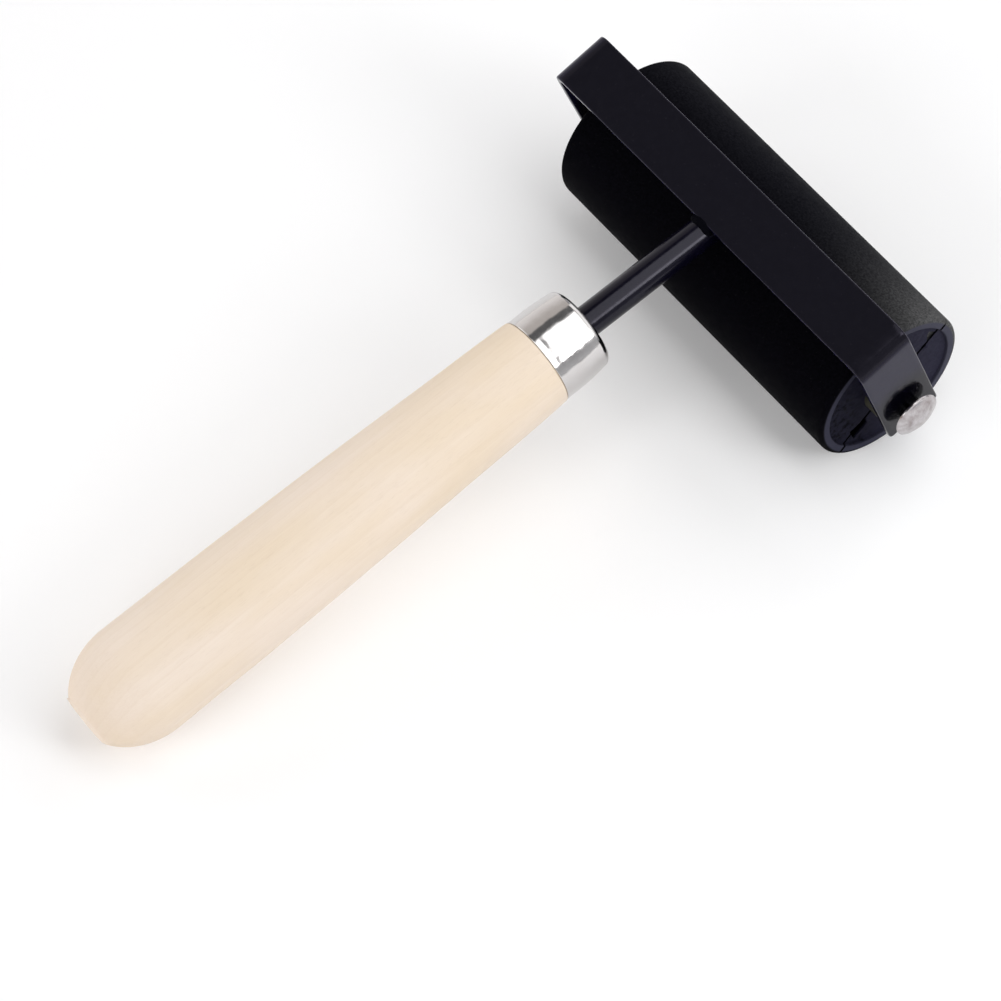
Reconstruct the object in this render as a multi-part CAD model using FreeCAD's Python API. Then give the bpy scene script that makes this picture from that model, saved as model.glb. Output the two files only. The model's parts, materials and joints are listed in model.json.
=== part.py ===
import FreeCAD, Part
import math
import os

# Rubber brayer: a rubber roller in a bent steel strap, a steel rod welded under the strap,
# and a turned wooden handle with a plated ferrule.
#
# The pieces are drawn in the strap frame: X along the roller's axis, Z from the roller
# towards the strap's back, the handle towards -Y, and the origin at the roller's centre.
# rest_placement() then tips everything to the attitude in which the tool lies on a table,
# on its roller and on the end of its handle, with the origin in the middle of the footprint.

# Rubber roller, moulded on a plastic tube that stands out at both ends
ROLLER_LENGTH = 101.0
ROLLER_RADIUS = 21.4
ROLLER_EDGE_RADIUS = 1.3
END_RECESS_RADIUS = 18.4
END_RECESS_DEPTH = 0.8
SEAM_ANGLE = 21.0
SEAM_OFFSET = -1.9
SEAM_WIDTH = 0.6
SEAM_DEPTH = 1.6
TUBE_RADIUS = 7.0
TUBE_BORE_RADIUS = 5.0
TUBE_STAND_OUT = 3.5

# Hollows beside the mould seam, given by their corners' distances along and across it
POCKET_CORNERS = [(-16.4, -2.9), (-11.1, -2.9), (-9.8, -0.5), (-14.8, 1.4)]
POCKET_DEPTH = 2.6
NOTCH_CORNERS = [(13.9, 0.0), (17.4, 0.0), (16.9, 3.0), (15.8, 2.4)]
NOTCH_DEPTH = 1.5

# Bushes pressed into the tube, flush with its ends
BUSH_LENGTH = 14.0

# Thrust washers between the tube's ends and the strap's ears
THRUST_WASHER_RADIUS = 6.5
THRUST_WASHER_THICKNESS = 1.0
FACE_GAP = 0.05

# Axle rivet
AXLE_RADIUS = 3.0
AXLE_CLEARANCE = 0.07
HEAD_RADIUS = 6.1
HEAD_RIM = 0.5
HEAD_DOME = 2.0
HEAD_STAND_OFF = 2.2
PEEN_RADIUS = 4.8
PEEN_RIM = 0.5
PEEN_DOME = 1.7
PEEN_WASHER_RADIUS = 6.5
PEEN_WASHER_THICKNESS = 1.0

# Strap, bent into a U
STRAP_WIDTH = 15.2
STRAP_THICKNESS = 2.0
STRAP_BACK = 32.6
STRAP_HALF_SPAN = 58.0
STRAP_BEND_RADIUS = 4.5
STRAP_EAR_DROP = 6.3
STRAP_EDGE_RADIUS = 0.5
EAR_CORNER_RADIUS = 1.0

# Rod, running straight from under the strap into the handle.
# Distances along the rod and the handle start at ROD_START.
ROD_RADIUS = 4.0
ROD_RISE_ANGLE = 8.6
ROD_START_Y = -8.0
ROD_START_Z = 27.8
ROD_UNDER_STRAP = 11.0
TANG_END = 118.0
TANG_POINT_LENGTH = 8.0
TANG_POINT_RADIUS = 1.2
TANG_FIT = 0.03

# Ferrule, a drawn cup with a round front edge
FERRULE_FRONT = 38.0
FERRULE_FLAT_RADIUS = 9.0
FERRULE_NOSE_RADIUS = 10.95
FERRULE_NOSE_LENGTH = 1.9
FERRULE_MIDDLE_RADIUS = 11.35
FERRULE_MIDDLE = 43.7
FERRULE_END_RADIUS = 11.55
FERRULE_END = 52.0
FERRULE_WALL = 0.5
FERRULE_HOLE_GAP = 0.15
TENON_GAP = 0.05

# Handle
HANDLE_SKEW_ANGLE = 0.9
HANDLE_OUTLINE = [
    (11.65, 52.15),
    (11.98, 60.0),
    (12.70, 84.0),
    (13.47, 108.0),
    (14.04, 132.0),
    (14.38, 156.0),
    (14.50, 172.5),
]
HANDLE_SLOPE_AT_SHOULDER = 0.05
HANDLE_END = 188.4
HANDLE_FACET_RADIUS = 6.6

# Welds between rod and strap
BEAD_RADIUS = 1.2
BEAD_SINK = 0.1
BEAD_SETBACK = 0.95
BEAD_FOOT_HEIGHT = 2.4
FILLET_RADIUS = 1.4
FILLET_LENGTH = 9.5
FILLET_START_Y = -6.6
FILLET_SPREAD = 3.3
FILLET_DROP = 0.7

# Worked out from the sizes above
X_AXIS = FreeCAD.Vector(1, 0, 0)
Y_AXIS = FreeCAD.Vector(0, 1, 0)
Z_AXIS = FreeCAD.Vector(0, 0, 1)
ORIGIN = FreeCAD.Vector(0, 0, 0)
HALF_LENGTH = ROLLER_LENGTH / 2
HALF_WIDTH = STRAP_WIDTH / 2
STRAP_INNER = STRAP_BACK - STRAP_THICKNESS
EAR_INNER = STRAP_HALF_SPAN - STRAP_THICKNESS
TUBE_END = HALF_LENGTH + TUBE_STAND_OUT
RUNNING_BORE = AXLE_RADIUS + AXLE_CLEARANCE
RISE = math.radians(ROD_RISE_ANGLE)
ROD_START = FreeCAD.Vector(0, ROD_START_Y, ROD_START_Z)
ROD_DIRECTION = FreeCAD.Vector(0, -math.cos(RISE), math.sin(RISE))
HANDLE_DIRECTION = FreeCAD.Rotation(Z_AXIS, HANDLE_SKEW_ANGLE).multVec(ROD_DIRECTION)
HANDLE_PIVOT = ROD_START + ROD_DIRECTION * FERRULE_FRONT
HANDLE_START = HANDLE_PIVOT - HANDLE_DIRECTION * FERRULE_FRONT
DOME_START = HANDLE_OUTLINE[-1][1]
DOME_RADIUS = HANDLE_OUTLINE[-1][0]
FACET_ANGLE = math.asin(HANDLE_FACET_RADIUS / DOME_RADIUS)
DOME_LENGTH = (HANDLE_END - DOME_START) / math.cos(FACET_ANGLE)


# ---- helpers ----

def cylinder_x(radius, start, end):
    """A cylinder on the roller's axis from x = start to x = end."""
    return Part.makeCylinder(radius, end - start, FreeCAD.Vector(start, 0, 0), X_AXIS)


def ring_x(outer, inner, start, end):
    """A tube on the roller's axis from x = start to x = end."""
    return cylinder_x(outer, start, end).cut(cylinder_x(inner, start - 1, end + 1))


def mirrored_x(shape):
    """The same shape on the far side of the roller's middle."""
    return shape.mirror(ORIGIN, X_AXIS)


def outline_point(radius, distance):
    """A point of a turned outline, drawn with X as radius and Z as distance."""
    return FreeCAD.Vector(radius, 0, distance)


def line(start, end):
    """A straight edge between two (radius, distance) points."""
    return Part.LineSegment(outline_point(*start), outline_point(*end)).toShape()


def turned(edges, start, direction):
    """A solid turned from a closed outline, its axis set on start and direction."""
    face = Part.Face(Part.Wire(edges))
    solid = face.revolve(ORIGIN, Z_AXIS, 360)
    solid.Placement = FreeCAD.Placement(start, FreeCAD.Rotation(Z_AXIS, direction))
    return solid


# ---- roller ----

def end_hollow(corners, depth):
    """A straight-sided hollow of the near end face, its corners given along and across Y."""
    floor = [FreeCAD.Vector(HALF_LENGTH - depth, *corner) for corner in corners]
    face = Part.Face(Part.makePolygon(floor + floor[:1]))
    return face.extrude(FreeCAD.Vector(depth + 1, 0, 0))


def end_face_cuts():
    """What is missing from the near end of the rubber: recess, mould seam, pocket and notch."""
    recess = cylinder_x(END_RECESS_RADIUS, HALF_LENGTH - END_RECESS_DEPTH, HALF_LENGTH + 1)
    reach = 1.5 * ROLLER_RADIUS
    side = SEAM_WIDTH / 2
    seam_corners = [(-reach, -side), (reach, -side), (reach, side), (-reach, side)]
    seam = end_hollow(seam_corners, SEAM_DEPTH)
    pocket = end_hollow(POCKET_CORNERS, POCKET_DEPTH)
    notch = end_hollow(NOTCH_CORNERS, NOTCH_DEPTH)
    marks = seam.fuse([pocket, notch])
    marks.translate(FreeCAD.Vector(0, 0, SEAM_OFFSET))
    marks.rotate(ORIGIN, X_AXIS, SEAM_ANGLE)
    return recess.fuse(marks)


def rubber_roller():
    """The rubber, moulded round the tube, with rounded edges."""
    rubber = cylinder_x(ROLLER_RADIUS, -HALF_LENGTH, HALF_LENGTH)
    rims = [edge for edge in rubber.Edges if edge.isClosed()]
    rubber = rubber.makeFillet(ROLLER_EDGE_RADIUS, rims[:2])
    bore = cylinder_x(TUBE_RADIUS, -TUBE_END, TUBE_END)
    near_cuts = end_face_cuts()
    return rubber.cut(bore).cut(near_cuts).cut(mirrored_x(near_cuts))


def core_tube():
    """The plastic tube through the rubber, whose ends stand out as spacers."""
    return ring_x(TUBE_RADIUS, TUBE_BORE_RADIUS, -TUBE_END, TUBE_END)


def near_bush():
    """A bearing bush pressed into the near end of the tube."""
    return ring_x(TUBE_BORE_RADIUS, RUNNING_BORE, TUBE_END - BUSH_LENGTH, TUBE_END)


def near_thrust_washer():
    """The washer that runs between the tube's near end and the strap's ear."""
    start = TUBE_END + FACE_GAP
    return ring_x(THRUST_WASHER_RADIUS, RUNNING_BORE, start, start + THRUST_WASHER_THICKNESS)


# ---- axle ----

def domed_disc(radius, rim, dome):
    """The outline of a disc with a straight rim and a spherical dome, flat face at Z = 0."""
    sphere_radius = (radius * radius + dome * dome) / (2 * dome)
    sphere_centre = rim + dome - sphere_radius
    half_way = radius / 2
    crown = Part.Arc(
        outline_point(radius, rim),
        outline_point(half_way, sphere_centre + math.sqrt(sphere_radius**2 - half_way**2)),
        outline_point(0, rim + dome),
    ).toShape()
    edges = [line((0, 0), (radius, 0)), line((radius, 0), (radius, rim)), crown]
    edges.append(line((0, rim + dome), (0, 0)))
    return edges


def axle_rivet():
    """One long rivet: a pin through both ears, a domed head and a peened far end."""
    head_face = STRAP_HALF_SPAN + HEAD_STAND_OFF
    peen_face = -STRAP_HALF_SPAN - PEEN_WASHER_THICKNESS - 2 * FACE_GAP
    pin = cylinder_x(AXLE_RADIUS, peen_face, head_face)
    head_start = FreeCAD.Vector(head_face, 0, 0)
    head = turned(domed_disc(HEAD_RADIUS, HEAD_RIM, HEAD_DOME), head_start, X_AXIS)
    peen_start = FreeCAD.Vector(peen_face, 0, 0)
    peen = turned(domed_disc(PEEN_RADIUS, PEEN_RIM, PEEN_DOME), peen_start, X_AXIS * -1)
    return pin.fuse([head, peen]).removeSplitter()


def peen_washer():
    """The washer that the far end of the rivet is peened over."""
    end = -STRAP_HALF_SPAN - FACE_GAP
    return ring_x(PEEN_WASHER_RADIUS, RUNNING_BORE, end - PEEN_WASHER_THICKNESS, end)


# ---- strap and rod ----

def bent_outline(half_span, back, bend_radius):
    """The edges of an open U in the XZ plane, from the near ear's end to the far one's."""
    corner = bend_radius * (1 - math.sqrt(0.5))
    foot = -STRAP_EAR_DROP
    points = [
        FreeCAD.Vector(half_span, 0, foot),
        FreeCAD.Vector(half_span, 0, back - bend_radius),
        FreeCAD.Vector(half_span - corner, 0, back - corner),
        FreeCAD.Vector(half_span - bend_radius, 0, back),
    ]
    far = [FreeCAD.Vector(-p.x, 0, p.z) for p in points]
    return [
        Part.LineSegment(points[0], points[1]).toShape(),
        Part.Arc(points[1], points[2], points[3]).toShape(),
        Part.LineSegment(points[3], far[3]).toShape(),
        Part.Arc(far[3], far[2], far[1]).toShape(),
        Part.LineSegment(far[1], far[0]).toShape(),
    ]


def strap_frame():
    """The steel strap: a back and two ears, each ear with a hole for the axle."""
    inner_bend = STRAP_BEND_RADIUS - STRAP_THICKNESS
    outer = bent_outline(STRAP_HALF_SPAN, STRAP_BACK, STRAP_BEND_RADIUS)
    inner = bent_outline(EAR_INNER, STRAP_INNER, inner_bend)
    foot = -STRAP_EAR_DROP
    ends = []
    for side in (-1, 1):
        outside = FreeCAD.Vector(side * STRAP_HALF_SPAN, 0, foot)
        inside = FreeCAD.Vector(side * EAR_INNER, 0, foot)
        ends.append(Part.LineSegment(outside, inside).toShape())
    face = Part.Face(Part.Wire(Part.__sortEdges__(outer + inner + ends)))
    face.translate(FreeCAD.Vector(0, -HALF_WIDTH, 0))
    strap = face.extrude(FreeCAD.Vector(0, STRAP_WIDTH, 0))
    corners = [edge for edge in strap.Edges if is_ear_corner(edge)]
    strap = strap.makeFillet(EAR_CORNER_RADIUS, corners)
    long_edges = [edge for edge in strap.Edges if on_strap_side(edge)]
    strap = strap.makeFillet(STRAP_EDGE_RADIUS, long_edges)
    return strap.cut(cylinder_x(RUNNING_BORE, -STRAP_HALF_SPAN - 1, STRAP_HALF_SPAN + 1))


def is_ear_corner(edge):
    """True for the four short edges across the strap's thickness at the ears' ends."""
    box = edge.BoundBox
    return box.ZMax < 1 - STRAP_EAR_DROP and box.YLength < 0.1 and box.XLength > 1


def on_strap_side(edge):
    """True for an edge that lies in one of the strap's two long side faces."""
    box = edge.BoundBox
    return box.YLength < 0.01 and abs(abs(box.Center.y) - HALF_WIDTH) < 0.01


def rod_body(extra):
    """The rod with its pointed tang, made thicker all over by extra."""
    radius = ROD_RADIUS + extra
    tip = TANG_POINT_RADIUS + extra
    start = -ROD_UNDER_STRAP
    point_start = TANG_END - TANG_POINT_LENGTH
    end = TANG_END + extra
    outline = [(0, start), (radius, start), (radius, point_start), (tip, end), (0, end)]
    edges = [line(a, b) for a, b in zip(outline, outline[1:] + outline[:1])]
    return turned(edges, ROD_START, ROD_DIRECTION)


def shank_rod(strap):
    """The rod, ground flat on top where it sits against the strap."""
    return rod_body(0).cut(strap)


def weld_edge_bead(strap, rod):
    """The bead over the rod along the strap's handle-side edge."""
    distance = (HALF_WIDTH + BEAD_SETBACK + ROD_START_Y) / math.cos(RISE)
    centre = ROD_START + ROD_DIRECTION * distance
    bead = Part.makeTorus(ROD_RADIUS - BEAD_SINK, BEAD_RADIUS, centre, ROD_DIRECTION)
    size = 4 * ROD_RADIUS
    below = Part.makeBox(size, size, size)
    foot = centre.z + BEAD_FOOT_HEIGHT
    below.translate(FreeCAD.Vector(-size / 2, centre.y - size / 2, foot - size))
    return bead.cut(below).cut(rod).cut(strap)


def weld_fillet(side, strap, rod):
    """The fillet in the corner between the rod's side and the strap's underside."""
    start = FreeCAD.Vector(side * FILLET_SPREAD, FILLET_START_Y, STRAP_INNER - FILLET_DROP)
    fillet = Part.makeCylinder(FILLET_RADIUS, FILLET_LENGTH, start, Y_AXIS)
    return fillet.cut(rod).cut(strap)


# ---- handle ----

def ferrule_outline(inset):
    """The closed outline of the ferrule's outside, moved inwards by inset."""
    front = FERRULE_FRONT + inset
    flat = FERRULE_FLAT_RADIUS
    nose_radius = FERRULE_NOSE_RADIUS - inset
    nose_end = FERRULE_FRONT + FERRULE_NOSE_LENGTH
    bulge = math.sqrt(0.5)
    middle_radius = flat + (nose_radius - flat) * bulge
    middle = nose_end - (nose_end - front) * bulge
    nose = Part.Arc(
        outline_point(flat, front),
        outline_point(middle_radius, middle),
        outline_point(nose_radius, nose_end),
    ).toShape()
    side = Part.BSplineCurve()
    side.interpolate([
        outline_point(nose_radius, nose_end),
        outline_point(FERRULE_MIDDLE_RADIUS - inset, FERRULE_MIDDLE),
        outline_point(FERRULE_END_RADIUS - inset, FERRULE_END),
    ])
    edges = [line((0, front), (flat, front)), nose, side.toShape()]
    edges.append(line((FERRULE_END_RADIUS - inset, FERRULE_END), (0, FERRULE_END)))
    edges.append(line((0, FERRULE_END), (0, front)))
    return edges


def ferrule():
    """The plated cup over the front of the handle, with a hole for the rod."""
    cup = turned(ferrule_outline(0), HANDLE_START, HANDLE_DIRECTION)
    inside = turned(ferrule_outline(FERRULE_WALL), HANDLE_START, HANDLE_DIRECTION)
    hole_radius = ROD_RADIUS + FERRULE_HOLE_GAP
    hole_start = HANDLE_PIVOT - HANDLE_DIRECTION
    hole = Part.makeCylinder(hole_radius, 3, hole_start, HANDLE_DIRECTION)
    return cup.cut(inside).cut(hole)


def handle():
    """The turned wooden handle: tenon, swelling grip, domed end and drilled tang hole."""
    tenon = turned(ferrule_outline(FERRULE_WALL + TENON_GAP), HANDLE_START, HANDLE_DIRECTION)
    points = [outline_point(*point) for point in HANDLE_OUTLINE]
    side = Part.BSplineCurve()
    side.interpolate(
        Points=points,
        InitialTangent=outline_point(HANDLE_SLOPE_AT_SHOULDER, 1),
        FinalTangent=outline_point(0, 1),
    )
    dome = Part.Ellipse(
        outline_point(0, DOME_START + DOME_LENGTH),
        outline_point(DOME_RADIUS, DOME_START),
        outline_point(0, DOME_START),
    )
    dome_arc = Part.ArcOfEllipse(dome, FACET_ANGLE, math.pi / 2).toShape()
    shoulder_radius, shoulder = HANDLE_OUTLINE[0]
    neck_radius = shoulder_radius - 1
    neck = FERRULE_END - 1
    edges = [
        line((0, neck), (neck_radius, neck)),
        line((neck_radius, neck), (neck_radius, shoulder)),
        line((neck_radius, shoulder), (shoulder_radius, shoulder)),
        side.toShape(),
        dome_arc,
        line((HANDLE_FACET_RADIUS, HANDLE_END), (0, HANDLE_END)),
        line((0, HANDLE_END), (0, neck)),
    ]
    grip = turned(edges, HANDLE_START, HANDLE_DIRECTION)
    return grip.fuse(tenon).removeSplitter().cut(rod_body(TANG_FIT))


# ---- rest attitude ----

def handle_height_over_table(tilt):
    """How far the handle's dome would stand over the table with the roller on it."""
    down = FreeCAD.Vector(0, -math.sin(tilt), -math.cos(tilt))
    along = down.dot(HANDLE_DIRECTION)
    reach = math.hypot(DOME_LENGTH * along, DOME_RADIUS * math.sqrt(1 - along * along))
    centre = HANDLE_START + HANDLE_DIRECTION * DOME_START
    return ROLLER_RADIUS - down.dot(centre) - reach


def rest_tilt():
    """The tilt, in radians, at which both the roller and the handle touch the table."""
    low = math.radians(5)
    high = math.radians(40)
    for _ in range(50):
        middle = (low + high) / 2
        if handle_height_over_table(middle) > 0:
            low = middle
        else:
            high = middle
    return middle


def rest_placement(shapes):
    """The placement from the strap frame to the frame of the table."""
    tipped = Part.makeCompound(shapes)
    tipped.Placement = FreeCAD.Placement(ORIGIN, FreeCAD.Rotation(X_AXIS, math.degrees(rest_tilt())))
    box = tipped.optimalBoundingBox(False, False)
    shift = FreeCAD.Vector(-box.Center.x, -box.Center.y, ROLLER_RADIUS)
    return FreeCAD.Placement(shift, tipped.Placement.Rotation)


def make_parts():
    """Every piece in the strap frame, by the name of its node."""
    strap = strap_frame()
    rod = shank_rod(strap)
    return {
        "handle": handle(),
        "ferrule": ferrule(),
        "shank_rod": rod,
        "strap_frame": strap,
        "weld_edge_bead": weld_edge_bead(strap, rod),
        "weld_fillet_near": weld_fillet(1, strap, rod),
        "weld_fillet_far": weld_fillet(-1, strap, rod),
        "axle_rivet": axle_rivet(),
        "peen_washer": peen_washer(),
        "thrust_washer_near": near_thrust_washer(),
        "thrust_washer_far": mirrored_x(near_thrust_washer()),
        "rubber_roller": rubber_roller(),
        "core_tube": core_tube(),
        "bush_near": near_bush(),
        "bush_far": mirrored_x(near_bush()),
    }


def main():
    parts = make_parts()
    placement = rest_placement(list(parts.values()))
    os.makedirs("parts", exist_ok=True)
    for node, shape in parts.items():
        placed = shape.transformed(placement.toMatrix())
        placed.exportStep(f"parts/{node}.step")


main()
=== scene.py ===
"""The looks of a rubber brayer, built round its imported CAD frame.

Lengths are in millimetres and are scaled once, when a mesh is made. Pieces are drawn in the tool's
own frame: X along the roller, Y away from the handle, Z out of the strap's back, and the origin in
the middle of the roller. TOOL is that frame's place in the row frame.
"""

import json
import math

import bmesh
import bpy
import numpy as np
from mathutils import Matrix, Vector, noise
from mathutils.geometry import delaunay_2d_cdt


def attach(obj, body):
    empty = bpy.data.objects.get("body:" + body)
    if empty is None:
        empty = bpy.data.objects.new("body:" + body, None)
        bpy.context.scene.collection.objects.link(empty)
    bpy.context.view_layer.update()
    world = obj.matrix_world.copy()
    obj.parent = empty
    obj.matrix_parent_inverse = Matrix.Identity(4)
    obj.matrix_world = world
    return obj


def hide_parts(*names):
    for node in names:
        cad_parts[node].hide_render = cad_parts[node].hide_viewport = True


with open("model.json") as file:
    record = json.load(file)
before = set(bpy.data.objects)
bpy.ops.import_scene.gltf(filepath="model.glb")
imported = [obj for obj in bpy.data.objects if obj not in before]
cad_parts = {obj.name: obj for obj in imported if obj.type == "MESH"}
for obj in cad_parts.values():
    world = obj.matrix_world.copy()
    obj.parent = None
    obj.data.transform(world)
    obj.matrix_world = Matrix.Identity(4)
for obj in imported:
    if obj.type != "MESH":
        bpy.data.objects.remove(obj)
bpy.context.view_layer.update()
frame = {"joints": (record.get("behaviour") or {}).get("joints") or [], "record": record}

MM = 0.001
TAU = 2 * math.pi
OWN_PLACE = "own_place"
LONGEST_RUN = 4.0
SHARP_ANGLE = math.radians(40)
WANDER_SHIFTS = [(11.3, 4.7, 7.1), (31.9, 17.2, 2.5), (5.4, 43.8, 23.6)]

# Roller
ROLLER_LENGTH = 101.0
ROLLER_RADIUS = 21.4
ROLLER_EDGE_RADIUS = 1.3
END_RECESS_RADIUS = 18.4
END_RECESS_DEPTH = 0.8
SEAM_ANGLE = 21.0
SEAM_OFFSET = -1.9
SEAM_WIDTH = 0.6
SEAM_DEPTH = 1.6
POCKET_CORNERS = [(-16.4, -2.9), (-11.1, -2.9), (-9.8, -0.5), (-14.8, 1.4)]
POCKET_DEPTH = 2.6
NOTCH_CORNERS = [(13.9, 0.0), (17.4, 0.0), (16.9, 3.0), (15.8, 2.4)]
NOTCH_DEPTH = 1.5
SEAM_BUMP = (12.9, -1.2)
TUBE_RADIUS = 7.0
TUBE_BORE_RADIUS = 5.0
TUBE_STAND_OUT = 3.5
TUBE_EDGE = 0.25
BUSH_LENGTH = 14.0
BUSH_EDGE = 0.3
THRUST_WASHER_RADIUS = 6.5
THRUST_WASHER_THICKNESS = 1.0
THRUST_WASHER_EDGE = 0.12
FACE_GAP = 0.05
PRESS_GAP = 0.01

# Rivet
AXLE_RADIUS = 3.0
RUNNING_BORE = 3.07
HEAD_RADIUS = 6.1
HEAD_RIM = 0.5
HEAD_DOME = 2.0
HEAD_STAND_OFF = 2.2
PEEN_RADIUS = 4.8
PEEN_RIM = 0.5
PEEN_DOME = 1.7
PEEN_WASHER_RADIUS = 6.5
PEEN_WASHER_THICKNESS = 1.0
PEEN_WASHER_EDGE = 0.15

# Strap
STRAP_WIDTH = 15.2
STRAP_THICKNESS = 2.0
STRAP_BACK = 32.6
STRAP_HALF_SPAN = 58.0
STRAP_BEND_RADIUS = 4.5
STRAP_EAR_DROP = 6.3
STRAP_EDGE_RADIUS = 0.5
EAR_CORNER_RADIUS = 1.0
STRAP_COLUMNS = 14

# Rod
ROD_RADIUS = 4.0
ROD_RISE_ANGLE = 8.6
ROD_START = Vector((0, -8.0, 27.8))
ROD_UNDER_STRAP = 11.0
TANG_END = 118.0
TANG_POINT_LENGTH = 8.0
TANG_POINT_RADIUS = 1.2
TANG_CLEARANCE = 0.05

# Ferrule
FERRULE_FRONT = 38.0
FERRULE_FLAT_RADIUS = 9.0
FERRULE_NOSE_RADIUS = 10.95
FERRULE_NOSE_LENGTH = 1.9
FERRULE_MIDDLE_RADIUS = 11.35
FERRULE_MIDDLE = 43.7
FERRULE_END_RADIUS = 11.55
FERRULE_END = 52.0
FERRULE_WALL = 0.5
FERRULE_HOLE_GAP = 0.15
TENON_GAP = 0.05

# Handle
HANDLE_SKEW_ANGLE = 0.9
HANDLE_OUTLINE = [
    (11.65, 52.15), (11.98, 60.0), (12.70, 84.0), (13.47, 108.0), (14.04, 132.0), (14.38, 156.0),
    (14.50, 172.5),
]
HANDLE_END = 188.4
HANDLE_FACET_RADIUS = 6.6
HANDLE_FACET_EDGE = (6.75, 188.27)
HANDLE_FACET_RINGS = (6.35, 5.9, 5.0, 3.8, 2.6, 1.4)

# Welds
BEAD_RADIUS = 1.2
BEAD_SETBACK = 0.95
BEAD_RING_RADIUS = 3.9
BEAD_HALF_ANGLE = 56.0
FILLET_RADIUS = 1.4
FILLET_START_Y = -6.6
FILLET_LENGTH = 9.5
FILLET_SPREAD = 3.3
FILLET_DROP = 0.7
WELD_TAPER = 0.22
WELD_SIDES = 28

# How far waves, dents and lumps stand out, and how wide some of them are
HANDLE_WAVE, HANDLE_WAVE_SIZE = 0.10, 17.0
FERRULE_WAVE, FERRULE_WAVE_SIZE = 0.022, 5.0
STRAP_WAVE = 0.05
HEAD_DENTS = 0.07
PEEN_DENTS = 0.22
END_LUMPS = 0.15
SEAM_BUMP_HEIGHT = 0.55
SEAM_BUMP_RADIUS = 0.55

# Wood grain
RING_WIDTH = 2.7
RING_SWAY = 6.0

# Stage, in metres
FLOOR_HALF = 4.0
SKY_LEVELS = [(0.0, 0.62), (0.35, 0.40), (0.6, 0.15), (1.0, 0.12)]
LENS_MM = 154.01
CAMERA_SPOT = Vector((0.46546, -0.32765, 0.86842))
CAMERA_RIGHT = Vector((0.60989, 0.79228, -0.01793))
CAMERA_AHEAD = Vector((-0.44252, 0.32171, -0.83706))

# Worked out from the sizes above
HALF_LENGTH = ROLLER_LENGTH / 2
HALF_WIDTH = STRAP_WIDTH / 2
STRAP_INNER = STRAP_BACK - STRAP_THICKNESS
TUBE_END = HALF_LENGTH + TUBE_STAND_OUT
END_EDGE_START = ROLLER_RADIUS - ROLLER_EDGE_RADIUS
SEAM_TURN = math.radians(SEAM_ANGLE)
HEAD_FACE = STRAP_HALF_SPAN + HEAD_STAND_OFF
PEEN_FACE = -STRAP_HALF_SPAN - PEEN_WASHER_THICKNESS - 2 * FACE_GAP
STRAP_FLAT = STRAP_HALF_SPAN - STRAP_BEND_RADIUS
MIDDLE_BEND_RADIUS = STRAP_BEND_RADIUS - STRAP_THICKNESS / 2
BEND_RUN = MIDDLE_BEND_RADIUS * math.pi / 2
STRAP_RUN = STRAP_FLAT + BEND_RUN + STRAP_BACK - STRAP_BEND_RADIUS + STRAP_EAR_DROP
RISE = math.radians(ROD_RISE_ANGLE)
ROD_DIRECTION = Vector((0, -math.cos(RISE), math.sin(RISE)))
HANDLE_DIRECTION = Matrix.Rotation(math.radians(HANDLE_SKEW_ANGLE), 3, "Z") @ ROD_DIRECTION
HANDLE_START = ROD_START + (ROD_DIRECTION - HANDLE_DIRECTION) * FERRULE_FRONT


# ---- places ----

def axes_place(x_axis, y_axis, z_axis, origin):
    """The matrix of a frame with these axes and this origin."""
    rotation = Matrix((x_axis, y_axis, z_axis)).transposed()
    return Matrix.LocRotScale(origin, rotation.to_quaternion(), None)


def tool_place():
    """The tool's frame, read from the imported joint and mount."""
    spin = next(joint for joint in frame["joints"] if joint["name"] == "roller_spin")
    back = next(mount for mount in frame["record"]["mounts"] if mount["name"] == "strap_back")
    x_axis = Vector(spin["axis"]).normalized()
    z_axis = Vector(back["axis"]).normalized()
    return axes_place(x_axis, z_axis.cross(x_axis), z_axis, Vector(spin["pos_m"]))


TOOL = tool_place()


def turning_place(start, direction):
    """A frame whose Z axis runs from start (in tool millimetres) along direction."""
    z_axis = direction.normalized()
    y_axis = z_axis.cross(Vector((1, 0, 0))).normalized()
    return TOOL @ axes_place(y_axis.cross(z_axis), y_axis, z_axis, start * MM)


ROLLER_PLACE = TOOL @ Matrix.Rotation(math.radians(90), 4, "Y")
ROD_PLACE = turning_place(ROD_START, ROD_DIRECTION)
HANDLE_PLACE = turning_place(HANDLE_START, HANDLE_DIRECTION)


# ---- mesh helpers ----

def add_object(name, data):
    """A new object with this data, linked to the scene."""
    thing = bpy.data.objects.new(name, data)
    bpy.context.scene.collection.objects.link(thing)
    return thing


def arc(centre, radius, start, end, steps):
    """Points (radius, distance) on an arc, with angles in degrees from the radial direction."""
    angles = np.radians(np.linspace(start, end, steps + 1))
    return [(centre[0] + radius * math.cos(a), centre[1] + radius * math.sin(a)) for a in angles]


def spread(start, end):
    """Points from start up to but not including end, no further apart than LONGEST_RUN."""
    steps = max(1, math.ceil(math.dist(start, end) / LONGEST_RUN))
    return [tuple(np.array(start) + (np.array(end) - start) * k / steps) for k in range(steps)]


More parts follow.
